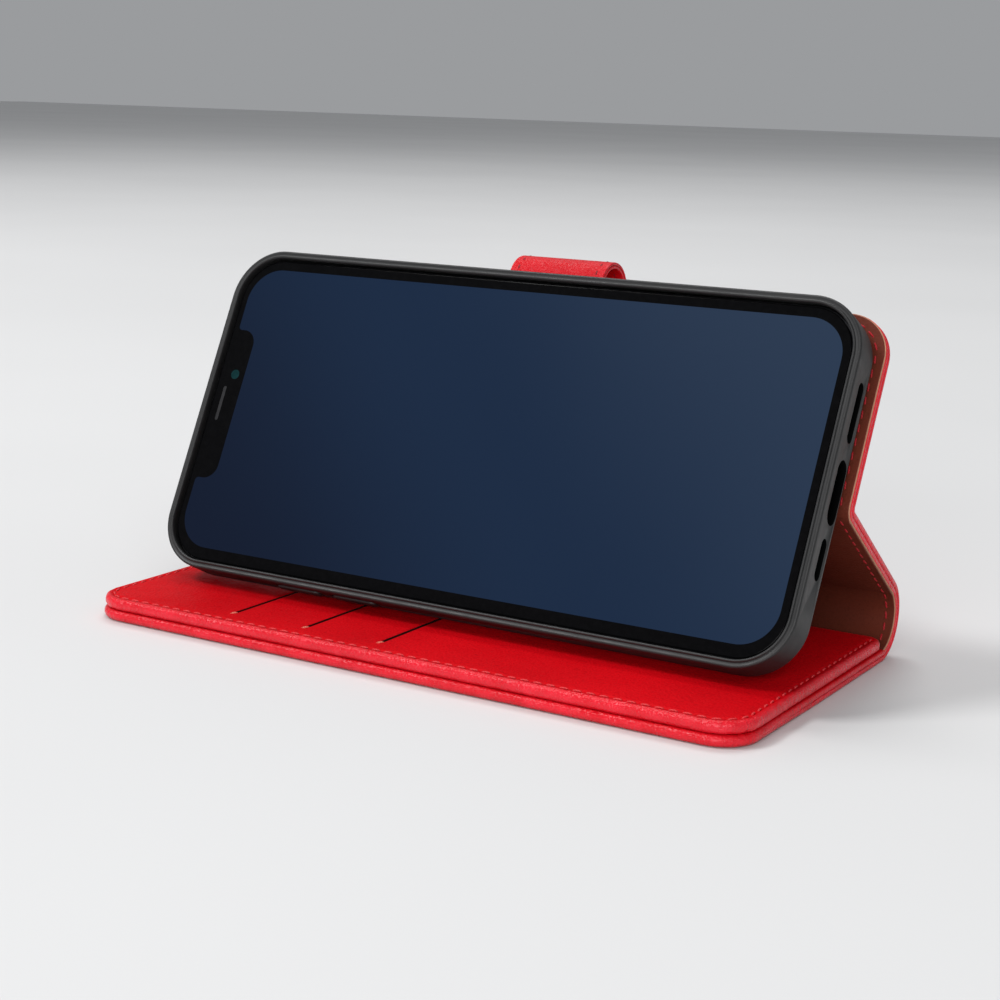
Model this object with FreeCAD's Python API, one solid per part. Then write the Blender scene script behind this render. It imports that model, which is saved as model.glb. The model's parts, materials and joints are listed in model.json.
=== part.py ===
import FreeCAD, Part
import math
import os

# Phone wallet case, standing in landscape. Millimetres, +Z up, +X along the long side.
# The front cover lies flat, the spine curves up behind it, the lower back leans forward to a
# crease, and the upper back leans back with the phone in its tray.
# Sections are drawn in the YZ plane with y = 0 at the front cover's free edge, then moved so
# that the origin is at the middle of the whole object's footprint.

# ---- driving dimensions ----
cover_half = 76.3            # half of the cover's length along X
cover_corner = 8.0
back_corner = 9.0
rear_corner = 1.0            # of the front cover's outer skin, where it runs on into the spine
panel_rear_corner = 3.0

front_depth = 71.5
front_skin_top = 2.4
front_top = 5.0
front_face = 1.2             # leather under the board
board_inset = 2.8
pocket_inset = 6.0
inner_leather = 1.1
slit_width = 0.7
slit_start = 6.5
slit_length = 59.0
first_slit_x = -42.0
slit_pitch = 18.4
slit_count = 3
lining_sheet = 0.3
sheet_step = 0.36
plate_half = 12.0
plate_depth = 24.0
stitch_inset = 1.9
stitch_width = 0.5
stitch_proud = 0.12
roll_radius = 0.9

screen_tilt = 63.8           # degrees from the horizontal
foot_y = 19.5                # the tray's lower front corner
foot_z = 8.35
tray_half = 75.0
tray_low = 0.75
tray_high = 75.25
tray_back = -10.3
tray_floor = 1.2
tray_wall = 1.5
tray_corner = 11.5
tray_edge = 3.0
bond = 0.3
back_thickness = 2.8
lining_thickness = 0.6
outer_thickness = 1.0
back_top = 76.0
crease_at = 36.0
fold_gap = 2.0               # a panel ends this far from its fold axis
fold_rod = 1.4

spine_centre_y = 71.0
spine_centre_z = 9.6
spine_radius = 6.7
spine_front_angle = -65.0    # where the fold axes lie on the spine's arc
spine_back_angle = 37.0
spine_half_thickness = 1.15

# y of the footprint's middle, measured from the front cover's free edge
origin_shift = (spine_centre_y + spine_radius + spine_half_thickness) / 2

# slots through the tray's right end
speaker_slots_v = ((48.0, 59.7), (20.8, 28.6))
speaker_slot_w = (-6.05, -3.75)
port_slot_v = (31.8, 44.2)
port_slot_w = (-7.3, -3.0)

window_x = (-71.0, -41.0)
window_v = (43.0, 71.5)
window_corner = 6.0

phone_gap = 0.3              # clearance to the tray all round
glass_drop = 1.2             # the glass lies this far under the tray's lip
glass_thickness = 0.8
display_half_x = 71.2
display_v = (5.5, 70.9)
display_corner = 8.0
display_thickness = 0.3
notch_depth = 5.2
notch_v = (21.0, 56.0)
island_x = (-67.5, -44.5)
island_v = (46.5, 68.5)
island_height = 1.2
lens_height = 0.8
lens_radius = 4.6

strap_x = (-11.8, 11.0)
strap_thickness = 2.0
strap_radius = 5.0           # middle of the leather round the arch
strap_start = 78.2
strap_pivot = 77.2
strap_flap_length = 26.0
strap_anchor_length = 20.0

pad_length = 11.0
pad_depth = 3.0
pad_travel = 0.3
pad_gap = 0.3
pad_middle_w = -5.0
power_x = -27.0
volume_x = (-38.0, -23.5)


# ---- helpers ----
def vector(x, y, z):
    return FreeCAD.Vector(x, y, z)


def outline(x0, x1, y0, y1, z, radii):
    """Closed wire of a rectangle; radii are for the corners at (x0, y0), (x1, y0), (x1, y1), (x0, y1)."""
    corners = [(x0, y0, 1, 1), (x1, y0, -1, 1), (x1, y1, -1, -1), (x0, y1, 1, -1)]
    edges = []
    previous = None
    first = None
    for index, (x, y, inward_x, inward_y) in enumerate(corners):
        r = radii[index]
        along_y = vector(x, y + inward_y * r, z)
        along_x = vector(x + inward_x * r, y, z)
        enter, leave = (along_y, along_x) if index % 2 == 0 else (along_x, along_y)
        if previous is None:
            first = enter
        else:
            edges.append(Part.makeLine(previous, enter))
        if r > 0:
            slant = r * (1 - math.sqrt(0.5))
            middle = vector(x + inward_x * slant, y + inward_y * slant, z)
            edges.append(Part.Arc(enter, middle, leave).toShape())
        previous = leave
    edges.append(Part.makeLine(previous, first))
    return Part.Wire(edges)


def plate(x0, x1, y0, y1, z0, z1, radii=0.0):
    """Rectangular plate with rounded corners. radii is one number, or four."""
    if not isinstance(radii, tuple):
        radii = (radii, radii, radii, radii)
    face = Part.Face(outline(x0, x1, y0, y1, z0, radii))
    return face.extrude(vector(0, 0, z1 - z0))


def ring(x0, x1, y0, y1, z0, z1, width, corner):
    """Flat band of the given width that runs round a rounded rectangle."""
    outer = plate(x0, x1, y0, y1, z0, z1, corner)
    inside = (x0 + width, x1 - width, y0 + width, y1 - width)
    inner = plate(*inside, z0, z1, max(corner - width, 0.2))
    return outer.cut(inner)


def round_edges(shape, radius, z):
    """Rounds the edges that lie at height z."""
    chosen = []
    for edge in shape.Edges:
        box = edge.BoundBox
        if abs(box.ZMin - z) < 1e-6 and abs(box.ZMax - z) < 1e-6:
            chosen.append(edge)
    return shape.makeFillet(radius, chosen)


def polar(centre, radius, degrees):
    angle = math.radians(degrees)
    return centre[0] + radius * math.cos(angle), centre[1] + radius * math.sin(angle)


def bent_strip(centre, r0, r1, start, stop, x0, x1):
    """Part of a tube along X: radii r0 to r1 about centre (y, z), from start to stop degrees."""
    middle = (start + stop) / 2
    inner = [vector(x0, *polar(centre, r0, a)) for a in (start, middle, stop)]
    outer = [vector(x0, *polar(centre, r1, a)) for a in (stop, middle, start)]
    edges = [
        Part.Arc(*inner).toShape(),
        Part.makeLine(inner[2], outer[0]),
        Part.Arc(*outer).toShape(),
        Part.makeLine(outer[2], inner[0]),
    ]
    return Part.Face(Part.Wire(edges)).extrude(vector(x1 - x0, 0, 0))


def rod(centre, radius, half):
    return Part.makeCylinder(radius, 2 * half, vector(-half, *centre), vector(1, 0, 0))


def placed(shape, y, z, degrees):
    """Turns a shape about X and moves its origin to (y, z)."""
    turn = FreeCAD.Rotation(vector(1, 0, 0), degrees)
    shape = shape.copy()
    shape.Placement = FreeCAD.Placement(vector(0, y, z), turn).multiply(shape.Placement)
    return shape


def on_screen_plane(shape):
    """From (x, up the screen, out of the screen) to where it stands."""
    return placed(shape, foot_y, foot_z, screen_tilt)


def screen_point(v, w):
    a = math.radians(screen_tilt)
    y = foot_y + v * math.cos(a) - w * math.sin(a)
    return y, foot_z + v * math.sin(a) + w * math.cos(a)


# ---- fold axes, as (y, z) ----
lining_w = tray_back - bond
back_middle_w = lining_w - back_thickness / 2
spine_centre = (spine_centre_y, spine_centre_z)
front_hinge = polar(spine_centre, spine_radius, spine_front_angle)
back_hinge = polar(spine_centre, spine_radius, spine_back_angle)
crease_hinge = screen_point(crease_at, back_middle_w)
lower_length = math.dist(back_hinge, crease_hinge)
lower_angle = math.degrees(
    math.atan2(crease_hinge[1] - back_hinge[1], crease_hinge[0] - back_hinge[0])
)
spine_angle = math.degrees(
    math.atan2(back_hinge[1] - front_hinge[1], back_hinge[0] - front_hinge[0])
)
strap_hinge = screen_point(strap_pivot, back_middle_w)
arch_centre = screen_point(strap_start, back_middle_w - strap_radius)
flap_hinge = (arch_centre[0] + strap_radius, arch_centre[1])

# The middle planes of the three layers of a back panel, from the lining side.
lining_from = back_thickness / 2
board_from = lining_from - lining_thickness
outer_from = -back_thickness / 2 + outer_thickness


# ---- front cover ----
def slit_places():
    return [first_slit_x + slit_pitch * k for k in range(slit_count)]


def front_outer_skin():
    corners = (cover_corner, cover_corner, rear_corner, rear_corner)
    skin = plate(-cover_half, cover_half, 0, front_depth, 0, front_skin_top, corners)
    skin = round_edges(skin, roll_radius, 0)
    return skin.cut(board_space())


def board_space():
    inset = board_inset
    return plate(
        -cover_half + inset,
        cover_half - inset,
        inset,
        front_depth - inset,
        front_face,
        front_skin_top,
        cover_corner - inset,
    )


def magnet_plate(margin=0.0):
    middle = sum(strap_x) / 2
    half = plate_half + margin
    near = pocket_inset - margin
    far = pocket_inset + plate_depth + margin
    return plate(middle - half, middle + half, near, far, front_face, front_skin_top, 2 + margin)


def front_board():
    return board_space().cut(magnet_plate(margin=0.1))


def front_inner_panel():
    edge = 0.2
    panel = plate(
        -cover_half + edge,
        cover_half - edge,
        edge,
        front_depth - edge,
        front_skin_top,
        front_top,
        (cover_corner, cover_corner, panel_rear_corner, panel_rear_corner),
    )
    panel = round_edges(panel, roll_radius, front_top)
    inset = pocket_inset
    hollow = plate(
        -cover_half + inset,
        cover_half - inset,
        inset,
        front_depth - inset,
        front_skin_top,
        front_top - inner_leather,
        2.0,
    )
    panel = panel.cut(hollow)
    for x in slit_places():
        slit = plate(
            x - slit_width / 2,
            x + slit_width / 2,
            slit_start,
            slit_start + slit_length,
            front_skin_top,
            front_top,
            slit_width / 2.01,
        )
        panel = panel.cut(slit)
    return panel


def pocket_lining(index, start_x):
    """Sheet under one card pocket. It starts just before its slit."""
    top = front_top - inner_leather - 0.1 - index * sheet_step
    margin = pocket_inset + 0.5
    return plate(
        start_x,
        cover_half - margin,
        margin,
        front_depth - margin,
        top - lining_sheet,
        top,
        1.5,
    )


def front_stitching():
    inset = stitch_inset
    return ring(
        -cover_half + inset,
        cover_half - inset,
        inset,
        front_depth - inset,
        front_top,
        front_top + stitch_proud,
        stitch_width,
        cover_corner - inset,
    )


# ---- spine and folds ----
def spine_layer(r0, r1):
    margin = math.degrees(fold_gap / spine_radius)
    start = spine_front_angle + margin
    stop = spine_back_angle - margin
    return bent_strip(spine_centre, r0, r1, start, stop, -cover_half, cover_half)


def fold(centre):
    return rod(centre, fold_rod, cover_half)


# ---- lower back: drawn flat from the spine's fold, the lining side up ----
def lower_layer(z0, z1, inset=0.0):
    flat = plate(
        -cover_half + inset,
        cover_half - inset,
        fold_gap + inset / 2,
        lower_length - fold_gap - inset / 2,
        z0,
        z1,
    )
    return placed(flat, *back_hinge, lower_angle)


def lower_stitching():
    top = lining_from + stitch_proud
    seams = []
    for side in (-1, 1):
        middle = side * (cover_half - stitch_inset)
        edges = (middle - stitch_width / 2, middle + stitch_width / 2)
        seams.append(plate(*edges, fold_gap, lower_length - fold_gap, lining_from, top))
    return placed(Part.makeCompound(seams), *back_hinge, lower_angle)


# ---- upper back: drawn flat on the screen's plane ----
def upper_layer(z0, z1, inset=0.0):
    radii = (0.0, 0.0, back_corner - inset, back_corner - inset)
    return plate(
        -cover_half + inset,
        cover_half - inset,
        crease_at + fold_gap,
        back_top - inset,
        back_middle_w + z0,
        back_middle_w + z1,
        radii,
    )


def camera_window(z0, z1):
    return plate(*window_x, *window_v, z0, z1, window_corner)


def through_window():
    return camera_window(tray_back - 2 * back_thickness, tray_back + 2 * tray_floor)


def strap_anchor(margin=0.0):
    return plate(
        strap_x[0] - margin,
        strap_x[1] + margin,
        back_top - strap_anchor_length - margin,
        back_top + margin,
        back_middle_w + outer_from,
        back_middle_w + board_from,
    )


def upper_board():
    board = upper_layer(outer_from, board_from, inset=2.5)
    return board.cut(through_window()).cut(strap_anchor(margin=0.2))


def upper_stitching():
    top = lining_w + stitch_proud
    low = crease_at + fold_gap
    corner = back_corner - stitch_inset
    edge = cover_half - stitch_inset
    outer = plate(-edge, edge, low, back_top - stitch_inset, lining_w, top, (0, 0, corner, corner))
    inner_edge = edge - stitch_width
    inner_top = back_top - stitch_inset - stitch_width
    inner = plate(-inner_edge, inner_edge, low, inner_top, lining_w, top, (0, 0, corner, corner))
    return outer.cut(inner)


# ---- tray ----
def tray_body():
    block = plate(-tray_half, tray_half, tray_low, tray_high, tray_back, 0, tray_corner)
    block = round_edges(block, tray_edge, tray_back)
    block = round_edges(block, 0.6, 0)
    return block.cut(phone_space(0.0)).cut(through_window())


def phone_space(margin):
    inset = tray_wall + margin
    return plate(
        -tray_half + inset,
        tray_half - inset,
        tray_low + inset,
        tray_high - inset,
        tray_back + tray_floor + margin,
        0.5,
        tray_corner - inset,
    )


def end_cutout(v0, v1, w0, w1):
    """Slot through the right end wall, with round ends."""
    height = w1 - w0
    slot = plate(v0, v1, w0, w1, 0, 4 * tray_wall, height / 2.01)
    slot.rotate(vector(0, 0, 0), vector(1, 0, 0), 90)
    slot.rotate(vector(0, 0, 0), vector(0, 0, 1), 90)
    slot.translate(vector(tray_half - 3 * tray_wall, 0, 0))
    return slot


def pad_recess(x, side, margin):
    """Space of one button pad in the long wall at side -1 (bottom) or +1 (top)."""
    wall = tray_low if side < 0 else tray_high
    outside = wall + side * 0.4
    inside = wall - side * (tray_wall - 0.1)
    if margin:
        outside = wall + side * 2
        inside = wall - side * (tray_wall + 1)
    low, high = sorted((outside, inside))
    return plate(
        x - pad_length / 2 - margin,
        x + pad_length / 2 + margin,
        low,
        high,
        pad_middle_w - pad_depth / 2 - margin,
        pad_middle_w + pad_depth / 2 + margin,
    )


pads = {
    "power_button_pad": (power_x, 1),
    "volume_up_pad": (volume_x[0], -1),
    "volume_down_pad": (volume_x[1], -1),
}


def tray():
    shell = tray_body()
    for x, side in pads.values():
        shell = shell.cut(pad_recess(x, side, pad_gap))
    for v in speaker_slots_v:
        shell = shell.cut(end_cutout(*v, *speaker_slot_w))
    return shell.cut(end_cutout(*port_slot_v, *port_slot_w))


def bonding_pad():
    pad = plate(-62, 62, crease_at + 4, back_top - 8, lining_w, tray_back, 4.0)
    return pad.cut(through_window())


# ---- strap ----
def arch_layer(r0, r1, x0, x1):
    """From the sewn root, over the top, to the flap's fold."""
    start = 90 + screen_tilt
    margin = math.degrees(fold_gap / strap_radius)
    return bent_strip(arch_centre, r0, r1, start, margin, x0, x1)


def flap_layer(d0, d1, x0=None, x1=None, start=None, stop=None):
    """Straight part that hangs behind; d0 and d1 are distances from the arch's centre."""
    x0 = strap_x[0] if x0 is None else x0
    x1 = strap_x[1] if x1 is None else x1
    start = fold_gap if start is None else start
    stop = strap_flap_length if stop is None else stop
    y, z = arch_centre
    return Part.makeBox(x1 - x0, d1 - d0, stop - start, vector(x0, y + d0, z - stop))


strap_inner = strap_radius - strap_thickness / 2
strap_outer = strap_radius + strap_thickness / 2
strap_seams = [
    (strap_x[0] + 1.6, strap_x[0] + 1.6 + stitch_width),
    (strap_x[1] - 1.6 - stitch_width, strap_x[1] - 1.6),
]


def strap_magnets(margin=0.0):
    blocks = []
    middle = sum(strap_x) / 2
    for start in (9.0, 17.0):
        blocks.append(
            flap_layer(
                strap_radius - 0.3 - margin,
                strap_radius + 0.3 + margin,
                middle - 8 - margin,
                middle + 8 + margin,
                start - margin,
                start + 6 + margin,
            )
        )
    return Part.makeCompound(blocks)


def strap_flap_half(d0, d1):
    return flap_layer(d0, d1).cut(strap_magnets(margin=0.05))


def arch_stitching():
    seams = [arch_layer(strap_outer, strap_outer + stitch_proud, *x) for x in strap_seams]
    return Part.makeCompound(seams)


def flap_stitching():
    seams = [flap_layer(strap_outer, strap_outer + stitch_proud, *x) for x in strap_seams]
    return Part.makeCompound(seams)


# ---- the phone that the case holds ----
phone_inset = tray_wall + phone_gap
phone_half = tray_half - phone_inset
phone_low = tray_low + phone_inset
phone_high = tray_high - phone_inset
phone_corner = tray_corner - phone_inset
phone_back = tray_back + tray_floor + phone_gap
phone_front = -glass_drop
back_glass_top = phone_back + 0.8
front_glass_bottom = phone_front - glass_thickness


def phone_plate(z0, z1, inset=0.0):
    return plate(
        -phone_half + inset,
        phone_half - inset,
        phone_low + inset,
        phone_high - inset,
        z0,
        z1,
        phone_corner - inset,
    )


def display():
    left = -display_half_x
    bottom = phone_front - display_thickness
    panel = plate(left, display_half_x, *display_v, bottom, phone_front, display_corner)
    notch = plate(left - 1, left + notch_depth, *notch_v, bottom - 1, phone_front + 1, (0, 3, 3, 0))
    return panel.cut(notch)


def port_space():
    return end_space((33.5, 42.5), (-6.4, -3.9), depth=3.0)


def end_space(v, w, depth):
    """Slot sunk into the phone's right end."""
    return plate(phone_half - depth, phone_half + 1, *v, *w)


def phone_frame():
    body = phone_plate(back_glass_top, front_glass_bottom)
    body = body.cut(port_space())
    for v0, v1 in ((48.5, 59.0), (21.5, 28.0)):
        body = body.cut(end_space((v0, v1), (-5.5, -4.3), depth=1.5))
    for x, side in pads.values():
        body = body.cut(button_block(x, side, margin=0.15))
    return body


def port_tongue():
    return plate(phone_half - 3.0, phone_half - 0.6, 35.0, 41.0, -5.5, -4.8)


def button_block(x, side, margin=0.0):
    """Button in the phone's long side, proud of it by less than the gap to the pad."""
    wall = phone_low if side < 0 else phone_high
    proud = wall + side * (phone_gap - 0.1)
    inside = wall - side * (1.2 + (pad_travel if margin else 0))
    if margin:
        proud = wall + side
    low, high = sorted((proud, inside))
    return plate(
        x - 4.0 - margin,
        x + 4.0 + margin,
        low,
        high,
        pad_middle_w - 1.0 - margin,
        pad_middle_w + 1.0 + margin,
    )


def camera_lenses():
    bottom = phone_back - island_height - lens_height
    height = lens_height + 0.6
    middle_v = sum(island_v) / 2
    lenses = []
    for x, v in ((island_x[0] + 6.6, middle_v - 4.6), (island_x[1] - 6.6, middle_v + 4.6)):
        lenses.append(Part.makeCylinder(lens_radius, height, vector(x, v, bottom)))
    return Part.makeCompound(lenses)


def camera_island():
    bottom = phone_back - island_height
    return plate(*island_x, *island_v, bottom, phone_back, 5.5).cut(camera_lenses())


def front_glass():
    glass = phone_plate(front_glass_bottom, phone_front, inset=0.3)
    glass = glass.cut(display()).cut(front_camera()).cut(earpiece())
    return glass


def front_camera():
    x = -display_half_x + notch_depth / 2
    return Part.makeCylinder(1.1, display_thickness, vector(x, 45.5, phone_front - display_thickness))


def earpiece():
    x = -display_half_x + 0.9
    low = phone_front - display_thickness
    return plate(x - 0.4, x + 0.4, 34.5, 42.5, low, phone_front, 0.39)


# ---- every sub-part by its name ----
def make_nodes():
    nodes = {
        "front_cover_outer_skin": front_outer_skin(),
        "front_cover_board": front_board(),
        "front_cover_magnet_plate": magnet_plate(),
        "front_cover_inner_panel": front_inner_panel(),
        "cash_pocket_lining": pocket_lining(slit_count, -cover_half + pocket_inset + 0.5),
        "front_cover_stitching": front_stitching(),
        "spine_lining": spine_layer(spine_radius - spine_half_thickness, spine_radius - 0.4),
        "spine_stiffener": spine_layer(spine_radius - 0.4, spine_radius + 0.25),
        "spine_outer_skin": spine_layer(spine_radius + 0.25, spine_radius + spine_half_thickness),
        "spine_fold_front": fold(front_hinge),
        "spine_fold_back": fold(back_hinge),
        "lower_back_lining": lower_layer(board_from, lining_from),
        "lower_back_board": lower_layer(outer_from, board_from, inset=2.5),
        "lower_back_outer_skin": lower_layer(-back_thickness / 2, outer_from),
        "lower_back_stitching": lower_stitching(),
        "stand_crease_fold": fold(crease_hinge),
        "strap_root_fold": Part.makeCylinder(
            0.8, strap_x[1] - strap_x[0], vector(strap_x[0], *strap_hinge), vector(1, 0, 0)
        ),
        "strap_arch_inner_leather": arch_layer(strap_inner, strap_radius, *strap_x),
        "strap_arch_outer_leather": arch_layer(strap_radius, strap_outer, *strap_x),
        "strap_arch_stitching": arch_stitching(),
        "strap_flap_inner_leather": strap_flap_half(strap_inner, strap_radius),
        "strap_flap_outer_leather": strap_flap_half(strap_radius, strap_outer),
        "strap_flap_stitching": flap_stitching(),
        "strap_magnets": strap_magnets(),
    }
    for index, x in enumerate(slit_places()):
        nodes[f"card_pocket_lining_{index + 1}"] = pocket_lining(index, x - 3)

    window = through_window()
    drawn_flat = {
        "upper_back_lining": upper_layer(board_from, lining_from).cut(window),
        "upper_back_board": upper_board(),
        "upper_back_outer_skin": upper_layer(-back_thickness / 2, outer_from).cut(window),
        "upper_back_stitching": upper_stitching(),
        "tray_bonding_pad": bonding_pad(),
        "phone_tray": tray(),
        "strap_anchor": strap_anchor(),
        "phone_frame": phone_frame(),
        "phone_back_glass": phone_plate(phone_back, back_glass_top, inset=0.3).cut(
            camera_lenses()
        ),
        "phone_front_glass": front_glass(),
        "phone_display": display(),
        "phone_front_camera": front_camera(),
        "phone_earpiece": earpiece(),
        "phone_camera_island": camera_island(),
        "phone_camera_lenses": camera_lenses(),
        "phone_port_tongue": port_tongue(),
    }
    for name, (x, side) in pads.items():
        drawn_flat[name] = pad_recess(x, side, 0)
        drawn_flat["phone_" + name.replace("_pad", "").replace("_button", "") + "_button"] = (
            button_block(x, side)
        )
    for name, shape in drawn_flat.items():
        nodes[name] = on_screen_plane(shape)
    return nodes


def main():
    os.makedirs("parts", exist_ok=True)
    for name, shape in make_nodes().items():
        moved = shape.copy()
        moved.translate(vector(0, -origin_shift, 0))
        moved.exportStep(f"parts/{name}.step")


main()
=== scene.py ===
import json
from math import asin, atan2, cos, degrees, exp, pi, radians, sin, sqrt, tan, tau

import bmesh
import bpy
from mathutils import Matrix, Quaternion, Vector
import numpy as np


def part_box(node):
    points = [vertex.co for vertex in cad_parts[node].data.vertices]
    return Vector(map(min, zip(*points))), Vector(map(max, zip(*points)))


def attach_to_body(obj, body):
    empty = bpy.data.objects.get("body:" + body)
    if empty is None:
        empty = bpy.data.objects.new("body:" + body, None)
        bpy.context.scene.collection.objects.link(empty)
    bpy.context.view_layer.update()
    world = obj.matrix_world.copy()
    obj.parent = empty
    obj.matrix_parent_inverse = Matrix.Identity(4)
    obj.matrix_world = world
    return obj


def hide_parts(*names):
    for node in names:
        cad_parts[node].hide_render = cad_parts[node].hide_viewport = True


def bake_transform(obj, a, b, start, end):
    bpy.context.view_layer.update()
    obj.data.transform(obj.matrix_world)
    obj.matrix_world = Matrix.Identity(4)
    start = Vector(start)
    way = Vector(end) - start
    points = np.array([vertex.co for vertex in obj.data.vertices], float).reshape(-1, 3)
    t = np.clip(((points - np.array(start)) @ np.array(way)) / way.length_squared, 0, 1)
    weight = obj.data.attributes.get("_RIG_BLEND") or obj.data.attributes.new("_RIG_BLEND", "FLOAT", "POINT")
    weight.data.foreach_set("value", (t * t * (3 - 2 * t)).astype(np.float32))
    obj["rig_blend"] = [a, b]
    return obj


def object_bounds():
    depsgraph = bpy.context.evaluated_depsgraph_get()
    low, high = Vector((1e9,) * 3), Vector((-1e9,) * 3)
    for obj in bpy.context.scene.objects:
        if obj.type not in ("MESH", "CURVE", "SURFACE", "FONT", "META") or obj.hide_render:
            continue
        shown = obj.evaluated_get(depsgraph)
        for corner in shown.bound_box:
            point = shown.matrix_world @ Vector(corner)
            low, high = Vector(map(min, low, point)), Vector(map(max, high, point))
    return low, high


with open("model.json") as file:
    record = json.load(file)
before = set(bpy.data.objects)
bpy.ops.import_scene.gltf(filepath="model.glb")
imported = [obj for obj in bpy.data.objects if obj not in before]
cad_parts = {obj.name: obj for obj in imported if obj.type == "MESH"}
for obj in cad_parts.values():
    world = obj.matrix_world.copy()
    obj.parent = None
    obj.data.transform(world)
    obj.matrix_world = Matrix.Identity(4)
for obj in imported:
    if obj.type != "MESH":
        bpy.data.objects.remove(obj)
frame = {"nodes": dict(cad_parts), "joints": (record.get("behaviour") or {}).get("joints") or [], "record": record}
cad_low, cad_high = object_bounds()
scene = bpy.context.scene
MM = 0.001
joints = {j["name"]: j for j in frame["joints"]}


# ---------------- places read from the frame
def axis_point(joint):
    """(y, z) of a fold axis."""
    return Vector(joints[joint]["pos_m"][1:])


def span(node, direction):
    """Lowest and highest reach of a CAD node along a direction."""
    reach = [v.co.dot(direction) for v in frame["nodes"][node].data.vertices]
    return min(reach), max(reach)


def extent(node):
    """x0, x1, y0, y1 of a CAD node's box."""
    low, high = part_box(node)
    return low.x, high.x, low.y, high.y


OUT = Vector(joints["phone_slide"]["axis"]).normalized()  # out of the screen
UP = Vector((0, OUT.z, -OUT.y))  # up the screen


def on_screen(x, v, w):
    """Point from x, height up the screen and distance along the screen's normal."""
    return Vector((x, 0, 0)) + UP * v + OUT * w


def screen_rect(node, inset=0.0):
    """x0, x1 and lowest, highest place up the screen of a CAD node, moved inwards."""
    low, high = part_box(node)
    v0, v1 = span(node, UP)
    return low.x + inset, high.x - inset, v0 + inset, v1 - inset


# ---------------- meshes
EDGE_WEAR_AND_HIGHLIGHT = 1.1 * MM  # how far in from an edge the leather is smoother and glossier, and painted paler as a highlight
STITCH_PITCH = 2.8 * MM
STITCH_LENGTH = 2.0 * MM
STITCH_RADIUS = 0.2 * MM
STITCH_SLANT = 6.0  # degrees


def finished(bm, name, *materials, sharp=40.0):
    """Turns a bmesh into an object with smooth faces and sharp edges where it folds hard."""
    bmesh.ops.remove_doubles(bm, verts=bm.verts, dist=1e-7)
    bmesh.ops.recalc_face_normals(bm, faces=bm.faces)
    for face in bm.faces:
        face.smooth = True
    for edge in bm.edges:
        edge.smooth = edge.calc_face_angle(0) < radians(sharp)
    mesh = bpy.data.meshes.new(name)
    bm.to_mesh(mesh)
    bm.free()
    for material in materials:
        mesh.materials.append(material)
    piece = bpy.data.objects.new(name, mesh)
    scene.collection.objects.link(piece)
    return piece


def attach(piece, bodies, slot, *nodes, path=None):
    """The piece moves with one body or bends between two, and stands for CAD nodes.

    Two bodies come with the number of the path's samples that lie before and after the bend.
    """
    if isinstance(bodies, str):
        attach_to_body(piece, bodies)
    else:
        a, b, before, after = bodies
        ends = {"start": along(path[before], 0, 0), "end": along(path[-1 - after], 0, 0)}
        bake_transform(piece, a, b, **ends)
    if nodes:
        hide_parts(*nodes)


def rounded(corners, steps=8):
    """Closed outline through corners (x, y, radius), each turned by an arc."""
    points = []
    count = len(corners)
    for i, (x, y, r) in enumerate(corners):
        here = Vector((x, y))
        before = (Vector(corners[i - 1][:2]) - here).normalized()
        after = (Vector(corners[(i + 1) % count][:2]) - here).normalized()
        half = before.angle(after) / 2
        reach = r / tan(half)
        centre = here + (before + after).normalized() * (r / sin(half))
        start = here + before * reach - centre
        stop = here + after * reach - centre
        turn = start.angle_signed(stop)
        for k in range(steps + 1):
            arc = start.copy()
            arc.rotate(Matrix.Rotation(-turn * k / steps, 2))
            points.append(centre + arc)
    return points


def spread(points, spacing):
    """Adds points on the long straight stretches of a closed outline."""
    dense = []
    for i, p in enumerate(points):
        q = points[(i + 1) % len(points)]
        steps = max(1, round((q - p).length / spacing))
        dense += [p.lerp(q, k / steps) for k in range(steps)]
    return dense


def inset_rect(rect, radii, inset, open_low=False):
    """Corners of a rounded rectangle moved inwards; radii is one radius or four."""
    x0, x1, y0, y1 = rect
    least = 0.05 * MM
    radii = radii if isinstance(radii, tuple) else (radii,) * 4
    r = [max(radius - inset, least) for radius in radii]
    low = y0 if open_low else y0 + inset
    return [
        (x0 + inset, low, r[0]),
        (x1 - inset, low, r[1]),
        (x1 - inset, y1 - inset, r[2]),
        (x0 + inset, y1 - inset, r[3]),
    ]


def quarter_turn(steps):
    """Angles of a quarter turn in even steps."""
    return [pi / 2 * k / steps for k in range(steps + 1)]


def edge_profile(low, high, radius, steps=5, flat=0.4 * MM):
    """(inset, level) from the underside round a rounded edge to the top."""
    waves = [(radius * sin(a), radius * cos(a)) for a in quarter_turn(steps)]
    points = [(radius + flat, low)]
    points += [(radius - sine, low + radius - cosine) for sine, cosine in waves]
    points += [(radius - cosine, high - radius + sine) for sine, cosine in waves]
    points.append((radius + flat, high))
    return points


def mark_edge(bm, loop, inset, reach):
    """Notes on a loop's vertices how near a turned edge they are."""
    layer = bm.verts.layers.float["edge"]
    for vertex in loop:
        vertex[layer] = max(0.0, 1 - inset / reach)


def loops_to_faces(bm, loops):
    """Quads between closed loops of the same number of vertices."""
    for lower, upper in zip(loops, loops[1:]):
        for i in range(len(lower)):
            j = (i + 1) % len(lower)
            corners = [lower[i], lower[j], upper[j], upper[i]]
            if len({v.co.to_tuple(8) for v in corners}) > 2:
                bm.faces.new(corners)


def cap(bm, *loops):
    """Fills the flat area between an outer loop and any holes."""
    edges = []
    for loop in loops:
        for i, v in enumerate(loop):
            w = loop[(i + 1) % len(loop)]
            edges.append(bm.edges.get((v, w)) or bm.edges.new((v, w)))
    bmesh.ops.triangle_fill(bm, edges=edges, use_beauty=True)


def ring(bm, corners, steps, level, to_world=on_screen):
    """Vertices of a rounded outline at a level."""
    return [bm.verts.new(to_world(p.x, p.y, level)) for p in rounded(corners, steps)]


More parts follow.
